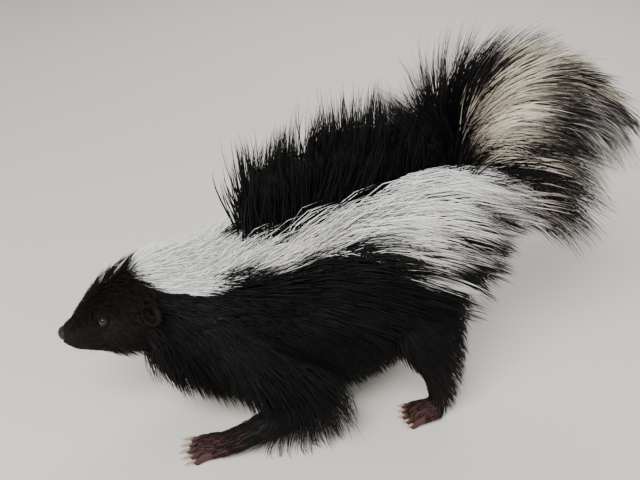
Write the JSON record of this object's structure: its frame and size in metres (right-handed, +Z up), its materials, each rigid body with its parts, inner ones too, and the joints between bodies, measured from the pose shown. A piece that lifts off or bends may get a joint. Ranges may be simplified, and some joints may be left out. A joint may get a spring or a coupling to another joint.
{
  "type": "striped skunk",
  "caption": "Life-size still model of a striped skunk walking, crest and plume of the tail raised, black coat with a white nape and stripe.",
  "frame": {"origin": "centre of the footprint box, on the floor under the body", "axes": "+Z up; the skunk faces -X, so X is its length with the nose at -X and the plume of the tail at +X; its left side faces -Y"},
  "size_m": [0.48, 0.1994, 0.3121],
  "materials": {
    "coat_black": "long black hair",
    "coat_grizzled": "long hair, white at the root, black, and pale at the tip",
    "bare_skin": "bare dark skin, slightly moist",
    "paw_skin": "bare pinkish brown skin and pale claws",
    "eye_dark": "polished, nearly black"
  },
  "bodies": {
    "root": {"ear_left": "bare_skin", "ear_right": "bare_skin", "eye_left": "eye_dark", "eye_right": "eye_dark", "foreleg_left": "coat_black", "foreleg_right": "coat_black", "forepaw_left": "paw_skin", "forepaw_right": "paw_skin", "head": "coat_black", "hindleg_left": "coat_black", "hindleg_right": "coat_black", "hindpaw_left": "paw_skin", "hindpaw_right": "paw_skin", "neck": "coat_black", "nose": "bare_skin", "tail": "coat_grizzled", "torso": "coat_black"}
  },
  "joints": []
}
